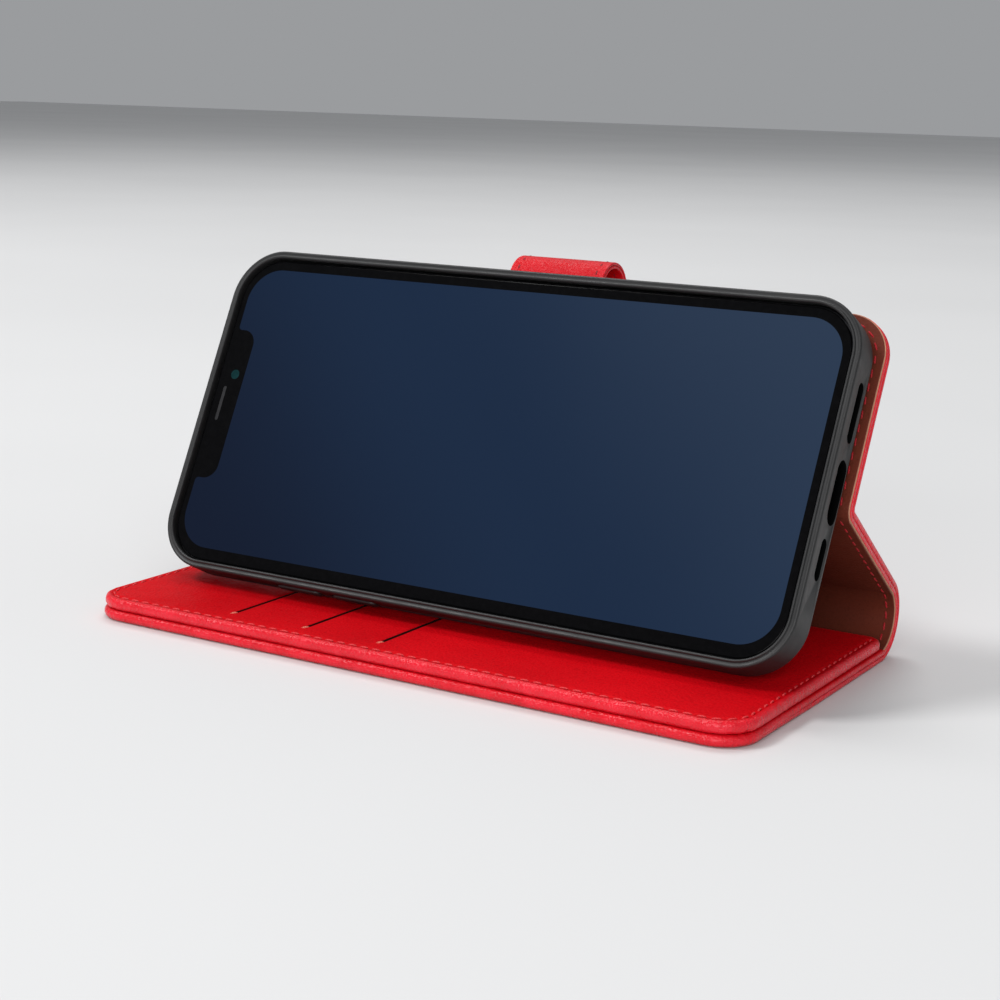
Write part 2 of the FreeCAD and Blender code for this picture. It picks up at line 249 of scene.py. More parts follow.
def slab(name, rect, radii, profile, to_world, material, hole=None, open_low=False, steps=8):
    """Plate whose edge, and that of a hole (rect, radius), has a profile of (inset, level)."""
    bm = bmesh.new()
    bm.verts.layers.float.new("edge")

    def loop(corners, level, inset):
        made = ring(bm, corners, steps, level, to_world)
        mark_edge(bm, made, inset, EDGE_WEAR_AND_HIGHLIGHT)
        return made

    walls = [[loop(inset_rect(rect, radii, i, open_low), level, i) for i, level in profile]]
    if hole:
        walls.append([loop(inset_rect(*hole, -i), level, i) for i, level in profile])
    for wall in walls:
        loops_to_faces(bm, wall)
    cap(bm, *[wall[0] for wall in walls])
    cap(bm, *[wall[-1] for wall in walls])
    return finished(bm, name, material)


def walk(start, angle, segments):
    """Path of (point, direction) through segments of (length, turn in degrees, steps)."""
    path = [(start.copy(), angle)]
    point = start.copy()
    for length, turn, steps in segments:
        for _ in range(steps):
            step_turn = radians(turn) / steps
            angle += step_turn / 2
            point = point + Vector((cos(angle), sin(angle))) * (length / steps)
            angle += step_turn / 2
            path.append((point.copy(), angle))
    return path


def along(sample, x, offset):
    """World point beside a path sample; offset is towards the lining."""
    point, angle = sample
    return Vector((x, point.x - sin(angle) * offset, point.y + cos(angle) * offset))


def beside(middle, direction, x, level, side):
    """Place, direction and normal of a stitch beside a path; side is 1 towards the lining."""
    sample = (middle, atan2(direction.y, direction.x))
    normal = along(sample, x, side) - along(sample, x, 0)
    return along(sample, x, level), Vector((0, direction.x, direction.y)), normal


def strip(name, path, widths, profile_at, material):
    """Band that follows a path, with its two long edges shaped by a profile."""
    bm = bmesh.new()
    edge = bm.verts.layers.float.new("edge")
    sections = []
    for k, sample in enumerate(path):
        x0, x1 = widths(k)
        profile = profile_at(k)
        right = [bm.verts.new(along(sample, x1 - i, level)) for i, level in profile]
        left = [bm.verts.new(along(sample, x0 + i, level)) for i, level in reversed(profile)]
        for v, (inset, _) in zip(right + left, profile + profile[::-1]):
            v[edge] = max(0.0, 1 - inset / EDGE_WEAR_AND_HIGHLIGHT)
        sections.append(right + left)
    loops_to_faces(bm, sections)
    bm.faces.new(sections[0])
    bm.faces.new(list(reversed(sections[-1])))
    return finished(bm, name, material)


def stitches(
    name, places, material, length=STITCH_LENGTH, radius=STITCH_RADIUS, slant=STITCH_SLANT
):
    """Short round threads. Each place is (middle, direction, normal)."""
    bm = bmesh.new()
    sides, rings = 8, 6
    for middle, direction, normal in places:
        direction = direction.normalized()
        side = normal.cross(direction).normalized()
        lean = radians(slant)
        forward = direction * cos(lean) + side * sin(lean)
        side = normal.cross(forward)
        loops = []
        for k in range(rings + 1):
            t = -1 + 2 * k / rings
            r = radius * sqrt(max(0.0, 1 - t ** 4)) + radius * 0.05
            rise = normal * (radius * 0.5 * (1 - t * t) - radius * 0.35)
            centre = middle + forward * (t * length / 2) + rise
            turns = [tau * i / sides for i in range(sides)]
            ring = [
                centre + side * (r * cos(a)) + normal * (r * 0.8 * sin(a)) for a in turns
            ]
            loops.append([bm.verts.new(place) for place in ring])
        loops_to_faces(bm, loops)
        bm.faces.new(loops[0])
        bm.faces.new(loops[-1])
    return finished(bm, name, material, sharp=80)


def runs_along(points):
    """Length run from the first point to each."""
    runs = [0.0]
    for a, b in zip(points, points[1:]):
        runs.append(runs[-1] + (b - a).length)
    return runs


def nearest(path, point):
    """Index of the path's sample nearest to a point."""
    return min(range(len(path)), key=lambda k: (path[k][0] - point).length)


def evenly(points, pitch, closed=True):
    """(middle, direction) at an even pitch along an outline."""
    if closed:
        points = points + [points[0]]
    lengths = [(b - a).length for a, b in zip(points, points[1:])]
    count = int(sum(lengths) / pitch)
    gap = sum(lengths) / count
    found = []
    index, passed = 0, 0.0
    for k in range(count):
        target = (k + 0.5) * gap
        while passed + lengths[index] < target:
            passed += lengths[index]
            index += 1
        a, b = points[index], points[index + 1]
        found.append((a.lerp(b, (target - passed) / lengths[index]), (b - a).normalized()))
    return found


# ---------------- materials
# Scales of textures are in cells per metre.
class Nodes:
    """Small helper that adds and joins shader nodes."""

    def __init__(self, name):
        self.material = bpy.data.materials.new(name)
        self.material.use_nodes = True
        self.tree = self.material.node_tree
        self.shader = self.tree.nodes["Principled BSDF"]

    def add(self, kind, inputs=None, **settings):
        node = self.tree.nodes.new(kind)
        for key, value in settings.items():
            setattr(node, key, value)
        for key, value in (inputs or {}).items():
            self.put(node, key, value)
        return node

    def put(self, node, key, value):
        socket = node.inputs[key]
        if hasattr(value, "is_output"):
            self.tree.links.new(value, socket)
        else:
            socket.default_value = value

    def set(self, **values):
        for key, value in values.items():
            self.put(self.shader, key.replace("_", " "), value)

    def place(self):
        return self.add("ShaderNodeTexCoord").outputs["Object"]

    def noise(self, scale, detail=3.0, roughness=0.5, place=None, output="Fac"):
        inputs = {"Vector": place or self.place(), "Scale": scale}
        inputs.update({"Detail": detail, "Roughness": roughness})
        return self.add("ShaderNodeTexNoise", inputs).outputs[output]

    def wave(self, scale, direction, distortion=0.0):
        inputs = {"Vector": self.place(), "Scale": scale, "Distortion": distortion}
        return self.add("ShaderNodeTexWave", inputs, bands_direction=direction).outputs["Fac"]

    def ramp(self, value, stops, smooth=False):
        node = self.add("ShaderNodeValToRGB", {"Fac": value})
        node.color_ramp.interpolation = "EASE" if smooth else "LINEAR"
        elements = node.color_ramp.elements
        while len(elements) < len(stops):
            elements.new(0.5)
        for element, (position, colour) in zip(elements, stops):
            element.position = position
            if isinstance(colour, (int, float)):
                colour = (colour,) * 3
            element.color = (*colour, 1)
        return node.outputs["Color"]

    def math(self, operation, *values, output=0, kind="ShaderNodeMath"):
        return self.add(kind, dict(enumerate(values)), operation=operation).outputs[output]

    def vector_math(self, operation, *values, output="Vector"):
        return self.math(operation, *values, output=output, kind="ShaderNodeVectorMath")

    def mix(self, factor, a, b, **settings):
        inputs = {"Factor": factor, "A": a, "B": b}
        return self.add("ShaderNodeMix", inputs, data_type="RGBA", **settings).outputs["Result"]

    def bump(self, height, distance, strength=1.0, normal=None):
        inputs = {"Height": height, "Distance": distance, "Strength": strength}
        if normal is not None:
            inputs["Normal"] = normal
        return self.add("ShaderNodeBump", inputs).outputs["Normal"]


def shade(colour, factor):
    """A lighter or darker colour."""
    return tuple(min(1.0, c * factor) for c in colour)


EDGE_HIGHLIGHT_TINT = (0.01, 0.018, 0.034)  # added to the colour of the painted highlight along edges
RIBS = 3.6  # height of the upright ribs in a stretched edge, in pebbles


def leather(name, colour, roughness=0.44, pebble=2000.0, depth=0.10, gloss=0.4, painted_edge_highlight=0.7):
    """Pressed-grain imitation leather: pebbles, fine creases and slow unevenness."""
    n = Nodes(name)
    warp = n.noise(500.0, 2.0, output="Color")
    shift = n.vector_math("MULTIPLY_ADD", warp, (0.0012,) * 3, n.place())
    inputs = {"Vector": shift, "Scale": pebble}
    cells = n.add("ShaderNodeTexVoronoi", inputs, feature="SMOOTH_F1").outputs["Distance"]
    pebbles = n.ramp(cells, [(0.0, 1.0), (0.75, 0.0)], smooth=True)
    fine = n.noise(6000.0, 4.0, 0.6)
    slow = n.noise(45.0, 2.0)
    edge = n.add("ShaderNodeAttribute", attribute_name="edge").outputs["Fac"]
    height = n.math("MULTIPLY_ADD", fine, 0.35, pebbles)
    upright = n.vector_math("MULTIPLY", n.place(), (1, 1, 0.12))
    ribs = n.noise(1500.0, 2.0, place=upright)
    ribbed = n.math("MULTIPLY", ribs, n.math("MULTIPLY", edge, RIBS))
    relief = n.bump(n.math("ADD", height, ribbed), depth * MM, 0.8)
    relief = n.bump(slow, 0.5 * MM, 0.25, relief)
    tones = [(0.3, shade(colour, 0.86)), (0.55, colour), (0.75, shade(colour, 1.12))]
    tone = n.ramp(n.noise(28.0, 4.0), tones)
    # Painted shade: the valleys between the pebbles are darkened in the colour.
    creases = n.ramp(cells, [(0.45, 1.0), (0.85, 0.72)])
    creased = n.mix(0.75, tone, creases, blend_type="MULTIPLY")
    rough = n.ramp(n.noise(160.0), [(0.3, roughness - 0.05), (0.7, roughness + 0.09)])
    rough = n.math("MULTIPLY_ADD", edge, -0.20, rough)
    # Painted highlight: near the edges the colour is made paler and pinker in patches, standing in for light on
    # the rolled edges.
    patchy = n.ramp(n.noise(240.0), [(0.3, 0.35), (0.7, 1.0)])
    edge_highlight_share = n.math("MULTIPLY", n.math("MULTIPLY", edge, patchy), painted_edge_highlight)
    pale = (*(min(1.0, c * 1.45 + more) for c, more in zip(colour, EDGE_HIGHLIGHT_TINT)), 1)
    n.set(Base_Color=n.mix(edge_highlight_share, creased, pale), Roughness=rough, Normal=relief)
    n.set(Specular_IOR_Level=n.math("MULTIPLY_ADD", edge, gloss, 0.03))
    n.set(Specular_Tint=(1.0, 0.7, 0.76, 1))
    return n.material


def thread(name, colour):
    """Twisted polyester thread."""
    n = Nodes(name)
    wave = n.wave(900.0, "DIAGONAL", 1.5)
    tone = n.ramp(wave, [(0.0, shade(colour, 0.75)), (0.7, shade(colour, 1.15))])
    n.set(Base_Color=tone, Roughness=0.55, Normal=n.bump(wave, 0.03 * MM))
    n.set(Specular_IOR_Level=0.3)
    return n.material


def moulded(name, colour, roughness, gloss=0.5):
    """Moulded plastic or rubber with a fine sparked surface."""
    n = Nodes(name)
    grain = n.bump(n.noise(2600.0, 5.0, 0.6), 0.012 * MM, 0.7)
    tone = n.ramp(n.noise(60.0), [(0.3, shade(colour, 0.85)), (0.7, shade(colour, 1.15))])
    rough = n.ramp(n.noise(300.0), [(0.3, roughness - 0.04), (0.7, roughness + 0.05)])
    n.set(Base_Color=tone, Roughness=rough, Normal=grain)
    n.set(Specular_IOR_Level=gloss)
    return n.material


def metal(name, colour, roughness=0.3):
    """Finely brushed metal."""
    n = Nodes(name)
    brushed = n.noise(900.0)
    tone = n.ramp(brushed, [(0.3, shade(colour, 0.9)), (0.7, shade(colour, 1.08))])
    rough = n.ramp(brushed, [(0.3, roughness - 0.05), (0.7, roughness + 0.08)])
    n.set(Base_Color=tone, Roughness=rough, Metallic=1.0)
    return n.material


def polished(name, colour, roughness=0.05):
    """Black glass: a hard smooth face with the faintest dust."""
    n = Nodes(name)
    dust = n.noise(700.0, 4.0, 0.7)
    tone = n.ramp(dust, [(0.4, colour), (0.8, shade(colour, 1.6))])
    rough = n.ramp(dust, [(0.3, roughness), (0.8, roughness + 0.05)])
    n.set(Base_Color=tone, Roughness=rough, Specular_IOR_Level=0.04)
    return n.material


THREAD_PITCH = 0.35 * MM


def cloth(name, colour, sheen=0.2):
    """Plain woven cloth."""
    n = Nodes(name)
    scale = pi / THREAD_PITCH / tau
    weave = n.math("MULTIPLY", n.wave(scale, "X"), n.wave(scale, "Y"))
    tone = n.ramp(weave, [(0.0, shade(colour, 0.6)), (0.8, colour)])
    n.set(Base_Color=tone, Roughness=0.85, Normal=n.bump(weave, 0.08 * MM))
    n.set(Sheen_Weight=sheen, Specular_IOR_Level=0.2)
    return n.material


def fibre_board(name, colour):
    """Pressed fibres, as in board and in the cut edge of leather."""
    n = Nodes(name)
    fibres = n.noise(1200.0, 6.0, 0.7)
    tone = n.ramp(fibres, [(0.3, shade(colour, 0.8)), (0.7, shade(colour, 1.1))])
    n.set(Base_Color=tone, Roughness=0.9, Normal=n.bump(fibres, 0.03 * MM))
    return n.material


DISPLAY_BLUES = [
    (0.0, (0.004, 0.011, 0.032)),
    (0.5, (0.010, 0.028, 0.070)),
    (1.0, (0.030, 0.055, 0.105)),
]


def display_picture(name, rect):
    """Lit display showing a plain blue gradient."""
    x0, x1, v0, v1 = rect
    n = Nodes(name)

    def share(direction, low, high):
        """Place along a direction, from 0 to 1."""
        reach = n.vector_math("DOT_PRODUCT", n.place(), direction, output="Value")
        return n.math("DIVIDE", n.math("SUBTRACT", reach, low), high - low)

    across = n.math("MULTIPLY", share((1, 0, 0), x0, x1), 0.7)
    diagonal = n.math("MULTIPLY_ADD", share(UP, v0, v1), 0.3, across)
    uneven = n.math("MULTIPLY_ADD", n.noise(14.0, 1.0), 0.16, -0.08)
    picture = n.ramp(n.math("ADD", diagonal, uneven), DISPLAY_BLUES, smooth=True)
    n.set(Base_Color=(0.004, 0.004, 0.005, 1), Roughness=0.06, Specular_IOR_Level=0.02)
    n.set(Emission_Color=picture, Emission_Strength=0.75)
    return n.material


RED = (0.55, 0.0022, 0.006)
red_leather = leather("red_grained_leather", RED)
red_strap = leather("red_strap_leather", RED, pebble=2700.0, gloss=0.3, painted_edge_highlight=0.5)
brown_lining = leather(
    "brown_lining_leather", (0.118, 0.025, 0.014), 0.55, 2600.0, 0.03, gloss=0.1, painted_edge_highlight=0.0
)
raw_edge = fibre_board("cut_leather_edge", (0.44, 0.20, 0.12))
red_thread = thread("red_thread", (0.60, 0.030, 0.036))
lining_thread = thread("lining_thread", (0.36, 0.008, 0.014))
pale_thread = thread("pale_tack_thread", (0.60, 0.13, 0.09))
dark_thread = thread("dark_red_thread", (0.20, 0.004, 0.008))
tray_rubber = moulded("smoke_grey_moulded_rubber", (0.014, 0.014, 0.0145), 0.47, gloss=0.4)
# Near-black painted shade for the walls inside the tray's end slots.
slot_painted_shade = moulded("shaded_slot_wall", (0.0012, 0.0012, 0.0012), 0.9, gloss=0.03)
black_glass = polished("black_cover_glass", (0.0022, 0.0022, 0.0025))
phone_metal = metal("dark_anodised_metal", (0.02, 0.02, 0.022), 0.4)
speaker_mesh = metal("dark_speaker_mesh", (0.035, 0.035, 0.037), 0.5)
dark_rim = metal("dark_lens_rim", (0.09, 0.09, 0.095), 0.25)
bright_metal = metal("bright_metal", (0.6, 0.6, 0.62))
lens_glass = polished("coated_lens_glass", (0.004, 0.02, 0.022), 0.03)
# Near-black painted shade for the deep walls inside the card slits.
slit_shade = cloth("slit_pocket_painted_shade", (0.006, 0.002, 0.002), sheen=0.0)

slot_materials = {
    "red_leather": red_leather,
    "lining_leather": brown_lining,
    "thread": red_thread,
    "tray_shell": tray_rubber,
    "board": fibre_board("grey_board", (0.30, 0.27, 0.24)),
    "pocket_cloth": cloth("pocket_cloth", (0.16, 0.012, 0.02)),
    "steel": bright_metal,
    "magnet": bright_metal,
    "adhesive": moulded("adhesive_foam", (0.05, 0.05, 0.05), 0.8),
    "phone_metal": phone_metal,
    "phone_black_glass": black_glass,
    "phone_screen": black_glass,
    "phone_lens": lens_glass,
}
for part in frame["record"]["subparts"]:
    mesh = frame["nodes"][part["node"]].data
    mesh.materials.clear()
    mesh.materials.append(slot_materials[part["material_slot"]])


# ---------------- front cover
SEAM_INSET = 1.9 * MM
COVER_CORNER = 8.0 * MM
REAR_CORNER = 3.2 * MM
FACE_CORNERS = (COVER_CORNER, COVER_CORNER, REAR_CORNER, REAR_CORNER)
ROLL = 1.15 * MM  # radius of the front cover's two rolled edges

UNDERSIDE_REAR_CORNER = 1.6 * MM
PARTING_START = 12.0 * MM  # along the sides, from the front, the lower leather's edge parts in two
PARTING_FULL = 34.0 * MM
PARTING_HEIGHT = 0.46  # share of the lower leather's thickness
PARTED_ROLL = 0.5 * MM
PARTING_LEVELS = (-0.2, -0.1, -0.04, 0.0, 0.04, 0.1, 0.2)  # extra rings of vertices, in mm
SPINE_OVERLAP = 1.3 * MM


def roll_inset(level, low, high, radius):
    """How far a rounded edge stands back at a level."""
    into = min(level - low, high - level, radius)
    return radius - sqrt(max(0.0, radius ** 2 - (radius - into) ** 2))


def cover_underside():
    """Lower leather of the front cover; towards the spine its edge parts into two layers."""
    x0, x1, y0, y1 = extent("front_cover_outer_skin")
    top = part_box("front_cover_outer_skin")[1].z
    parting = PARTING_HEIGHT * top
    radii = (COVER_CORNER, COVER_CORNER, UNDERSIDE_REAR_CORNER, UNDERSIDE_REAR_CORNER)
    rect = (x0, x1, y0, y1 + SPINE_OVERLAP)
    spacing = 2.0 * MM
    base = spread(rounded(inset_rect(rect, radii, 0), 20), spacing)
    inwards = [q - p for p, q in zip(base, offset_outline(base, 1.0))]
    rings = 12
    levels = [top * (0.5 - 0.5 * cos(pi * k / rings)) for k in range(rings + 1)]
    levels += [parting + step * MM for step in PARTING_LEVELS]
    bm = bmesh.new()
    bm.verts.layers.float.new("edge")
    loops = []
    for level in sorted(levels):
        single = roll_inset(level, 0, top, ROLL)
        low, high = (0, parting) if level < parting else (parting, top)
        parted = roll_inset(level, low, high, PARTED_ROLL)
        loop = []
        for p, inward in zip(base, inwards):
            share = (p.y - y0 - PARTING_START) / (PARTING_FULL - PARTING_START)
            share = min(1.0, max(0.0, share))
            side = p + inward * (single + (parted - single) * share)
            loop.append(bm.verts.new((side.x, side.y, level)))
        mark_edge(bm, loop, single, EDGE_WEAR_AND_HIGHLIGHT)
        loops.append(loop)
    loops_to_faces(bm, loops)
    cap(bm, loops[0])
    cap(bm, loops[-1])
    skin = finished(bm, "front_cover_lower_leather", red_leather)
    attach(skin, "front_cover", "red_leather", "front_cover_outer_skin")


GROOVE_WIDTH = 0.55 * MM
GROOVE_DEPTH = 0.16 * MM  # and as much again under each stitch


def seam_depth(inset, run):
    """How far the sewn seam pulls the face down, at a place along it."""
    groove = exp(-(((inset - SEAM_INSET) / GROOVE_WIDTH) ** 2))
    beat = 0.5 + 0.5 * cos(tau * run / STITCH_PITCH)
    return groove * GROOVE_DEPTH * (1 + beat)


PLEAT_HEIGHT = 0.07 * MM
PLEATS_PER_TURN = 14
PLEAT_REACH = 1.2 * MM


def pleats(angle_from_corner, inset):
    """Small gathers of the turned edge round the corners."""
    wave = cos(PLEATS_PER_TURN * angle_from_corner)
    return PLEAT_HEIGHT * wave * exp(-inset / PLEAT_REACH)


FACE_ROWS = (1.5, 1.7, 1.9, 2.1, 2.4, 2.7, 3.0)  # rings of vertices across the seam, in mm
# How far in from the face's edge it is smoother and glossier, and painted paler as a highlight.
FACE_WEAR_AND_HIGHLIGHT = 1.3 * MM


def cover_face():
    """Upper layer of the front cover: rolled edge, sewn seam, and the three card slits."""
    x0, x1, y0, y1 = extent("front_cover_inner_panel")
    low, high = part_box("front_cover_inner_panel")
    profile = edge_profile(low.z - 0.05 * MM, high.z, ROLL, steps=8, flat=0.1 * MM)
    profile += [(inset * MM, high.z) for inset in FACE_ROWS]
    bm = bmesh.new()
    bm.verts.layers.float.new("edge")
    spacing = 0.7 * MM
    base = spread(rounded(inset_rect((x0, x1, y0, y1), FACE_CORNERS, 0), 24), spacing)
    runs = runs_along(base)
    loops = []
    for inset, level in profile:
        loop = []
        for p, run in zip(offset_outline(base, inset), runs):
            sewn = level > low.z + ROLL and p.y < y1 - REAR_CORNER
            z = level - (seam_depth(inset, run) if sewn else 0)
            corner_x = max(0.0, abs(p.x) - (x1 - COVER_CORNER))
            corner_y = max(0.0, y0 + COVER_CORNER - p.y)
            if corner_x and corner_y:
                z += pleats(atan2(corner_y, corner_x), inset)
            loop.append(bm.verts.new((p.x, p.y, z)))
        mark_edge(bm, loop, inset, FACE_WEAR_AND_HIGHLIGHT)
        loops.append(loop)
    loops_to_faces(bm, loops)
    slits = [card_slit(bm, x, y0, high.z) for x in slit_places()]
    cap(bm, loops[0])
    cap(bm, loops[-1], *slits)
    face = finished(bm, "front_cover_face_leather", red_leather, slit_shade, raw_edge)
    attach(face, "front_cover", "red_leather", "front_cover_inner_panel")


def offset_outline(points, inset):
    """Moves each point of an outline inwards along its own normal."""
    moved = []
    count = len(points)
    for i, p in enumerate(points):
        direction = (points[(i + 1) % count] - points[i - 1]).normalized()
        moved.append(p + Vector((-direction.y, direction.x)) * inset)
    return moved


SLIT_BEFORE_POCKET = 3.0 * MM
SLIT_START = 6.3 * MM  # from the cover's front edge
SLIT_LENGTH = 59.0 * MM
SLIT_HALF_WIDTH = 0.42 * MM
SLIT_CORNER = 0.4 * MM
# Rounded lip of a card slit: (reach beyond the slit, drop) in mm.
SLIT_LIP = ((0.9, 0), (0.55, -0.05), (0.22, 0.0), (0.04, 0.12), (0, 0.3), (0, 0.7), (0, 2.0))
SHADED_DROP = 0.2 * MM  # below this the slit's walls, the pocket's inside, get a near-black painted shade
CUT_EDGE_DROP = 0.05 * MM  # between the two it shows the leather's cut edge
CUT_EDGE_AREA = (1.5 * MM) ** 2


def slit_places():
    """Where the card slits lie across the cover."""
    names = [n for n in sorted(frame["nodes"]) if n.startswith("card_pocket_lining")]
    return [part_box(n)[0].x + SLIT_BEFORE_POCKET for n in names]


def card_slit(bm, x, front, top):
    """Cuts one card slit with a turned lip; returns its outline in the face."""
    y0 = front + SLIT_START
    rect = (x - SLIT_HALF_WIDTH, x + SLIT_HALF_WIDTH, y0, y0 + SLIT_LENGTH)
    loops = []
    for grow, drop in SLIT_LIP:
        corners = inset_rect(rect, SLIT_CORNER, -grow * MM)
        loops.append(ring(bm, corners, 5, top - drop * MM, lambda *place: place))
    before = set(bm.faces)
    loops_to_faces(bm, loops)
    cap(bm, loops[-1])
    for face in set(bm.faces) - before:
        middle = face.calc_center_median()
        # Deep walls of the slit get the near-black painted shade.
        if middle.z < top - SHADED_DROP:
            face.material_index = 1
        elif middle.z < top - CUT_EDGE_DROP and face.calc_area() < CUT_EDGE_AREA:
            face.material_index = 2
    return loops[0]


SEAM_SUNK = 0.12 * MM  # of the threads, below the face
TACKS = 4  # threads of the bar tack at each end of a slit
TACK_PITCH = 0.42 * MM
TACK_LENGTH = 1.15 * MM
TACK_RADIUS = 0.1 * MM


def cover_seams():
    """Seam along the cover's edge, and a bar tack at each end of the slits."""
    x0, x1, y0, y1 = extent("front_cover_inner_panel")
    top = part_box("front_cover_inner_panel")[1].z - SEAM_SUNK
    outline = rounded(inset_rect((x0, x1, y0, y1), FACE_CORNERS, SEAM_INSET), 16)
    up = Vector((0, 0, 1))
    places = [
        (Vector((p.x, p.y, top)), Vector((d.x, d.y, 0)), up)
        for p, d in evenly(outline, STITCH_PITCH)
        if p.y < y1 - SEAM_INSET - 0.3 * MM
    ]
    seam = stitches("front_cover_seam", places, red_thread)
    attach(seam, "front_cover", "thread", "front_cover_stitching")

    tacks = []
    for x in slit_places():
        for end in (y0 + SLIT_START, y0 + SLIT_START + SLIT_LENGTH):
            for k in range(TACKS):
                y = end + (k - (TACKS - 1) / 2) * TACK_PITCH
                tacks.append((Vector((x, y, top + TACK_RADIUS)), Vector((1, 0.15, 0)), up))
    tack = stitches("card_slit_bar_tacks", tacks, pale_thread, TACK_LENGTH, TACK_RADIUS, 0.0)
    attach(tack, "front_cover", "thread")


# ---------------- spine and backs
BASE_HALF = 1.2 * MM  # half the thickness of the leather under the front cover
BACK_HALF = 1.4 * MM
CREASE_RADIUS = 2.0 * MM
NEAR_FOLD = 5.0 * MM  # length of the straight leather beside a fold
BACK_CORNER = 9.0 * MM
LINING_SEAM = 2.1 * MM  # from the panels' edge
WINDOW_MARGIN = 3.0 * MM
WINDOW_CORNER = 6.0 * MM
WINDOW_SEAM = 1.8 * MM


def back_paths():
    """The leather's middle line, cut into pieces that each cross one fold at most."""
    back_fold = axis_point("spine_hinge")
    crease = axis_point("stand_crease")
    front_fold = axis_point("front_cover_hinge")
    run = crease - back_fold
    lower_angle = atan2(run.y, run.x)
    run.normalize()
    spine = back_fold - front_fold
    spine_angle = atan2(spine.y, spine.x)
    tilt = atan2(UP.z, UP.y)

    # One arc leaves the ground line, reaches the case's rear and meets the lower back.
    rear = cad_high.y - BASE_HALF
    gain = (sin(lower_angle) - 1) * run.y - (1 - cos(lower_angle)) * run.x
    miss = (rear - back_fold.x) * run.y - (BASE_HALF - back_fold.y) * run.x
    radius = -miss / gain
    panel_rear = extent("front_cover_outer_skin")[3] - 0.2 * MM
    start_angle = asin((panel_rear - (rear - radius)) / radius)
    start = Vector((panel_rear, BASE_HALF + radius * (1 - cos(start_angle))))

    near = (NEAR_FOLD, 0, 4)
    front = walk(start, start_angle, [arc(radius, spine_angle - start_angle, 14)])
    turn = arc(radius, lower_angle - spine_angle, 14)
    back = walk(front[-1][0], spine_angle, [turn, near])
    tangent = CREASE_RADIUS * tan((lower_angle - tilt) / 2)
    left = (crease - back[-1][0]).length - tangent - NEAR_FOLD
    lower = walk(back[-1][0], lower_angle, [(left, 0, 6)])
    turn = arc(CREASE_RADIUS, tilt - lower_angle, 14)
    fold = walk(lower[-1][0], lower_angle, [near, turn, near])
    return {"spine_front": front, "spine_back": back, "lower_back": lower, "crease": fold}


def arc(radius, turn, steps):
    """One segment of a path for walk()."""
    return radius * abs(turn), degrees(turn), steps


# Layers of a back panel: from and to, as shares of its half thickness; inset and edge radius
# in mm; material; slot.
back_layers = {
    "outer_leather": (-1.0, -0.08, 0.0, 0.5, red_leather, "red_leather"),
    "turned_edge": (-0.14, 0.72, 0.08, 0.42, red_leather, "red_leather"),
    "core": (0.60, 0.86, 0.22, 0.08, raw_edge, "board"),
    "lining": (0.82, 1.0, 0.42, 0.1, brown_lining, "lining_leather"),
}
joined_bodies = {
    "spine_front": ("front_cover", "spine", 0, 0),
    "spine_back": ("spine", "lower_back", 0, 4),
    "lower_back": "lower_back",
    "crease": ("lower_back", "upper_back", 4, 4),
    "strap_arch": ("upper_back", "strap_arch", 5, 9),
    "strap_flap": ("strap_arch", "strap_flap", 7, 20),
}
back_nodes = {
    ("spine_front", "outer_leather"): ("spine_outer_skin", "spine_fold_front"),
    ("spine_back", "lining"): ("spine_lining", "spine_fold_back", "spine_stiffener"),
    ("lower_back", "outer_leather"): ("lower_back_outer_skin",),
    ("lower_back", "lining"): ("lower_back_lining",),
    ("lower_back", "seams"): ("lower_back_stitching",),
    ("crease", "lining"): ("stand_crease_fold",),
    ("upper_back", "outer_leather"): ("upper_back_outer_skin",),
    ("upper_back", "lining"): ("upper_back_lining",),
}


def half_thickness(section, k, count):
    """The leather is a little thinner under the front cover than in the backs."""
    if section != "spine_back":
        return BASE_HALF if section == "spine_front" else BACK_HALF
    share = k / (count - 1)
    ease = share * share * (3 - 2 * share)
    return BASE_HALF + (BACK_HALF - BASE_HALF) * ease


def back_sections():
    """Spine, lower back and crease, each in its layers."""
    x0, x1, _, _ = extent("front_cover_outer_skin")
    for section, path in back_paths().items():
        for layer, (low, high, inset, radius, material, slot) in back_layers.items():

            def profile_at(k):
                half = half_thickness(section, k, len(path))
                return edge_profile(low * half, high * half, radius * MM)

            piece = strip(
                f"{section}_{layer}",
                path,
                lambda k: (x0 + inset * MM, x1 - inset * MM),
                profile_at,
                material,
            )
            nodes = back_nodes.get((section, layer), ())
            attach(piece, joined_bodies[section], slot, *nodes, path=path)
        side_seams(section, path, x0, x1)


def side_seams(section, path, x0, x1):
    """Red threads along both ends of the lining."""
    line = [p for p, _ in path]
    places = []
    for middle, direction in evenly(line, STITCH_PITCH, closed=False):
        half = half_thickness(section, nearest(path, middle), len(path))
        for x in (x0 + LINING_SEAM, x1 - LINING_SEAM):
            places.append(beside(middle, direction, x, half, 1))
    seam = stitches(f"{section}_seams", places, lining_thread)
    nodes = back_nodes.get((section, "seams"), ())
    attach(seam, joined_bodies[section], "thread", *nodes, path=path)


def window_rect():
    """The camera window, between the tray's outline and the camera."""
    return screen_rect("phone_camera_island", -WINDOW_MARGIN)


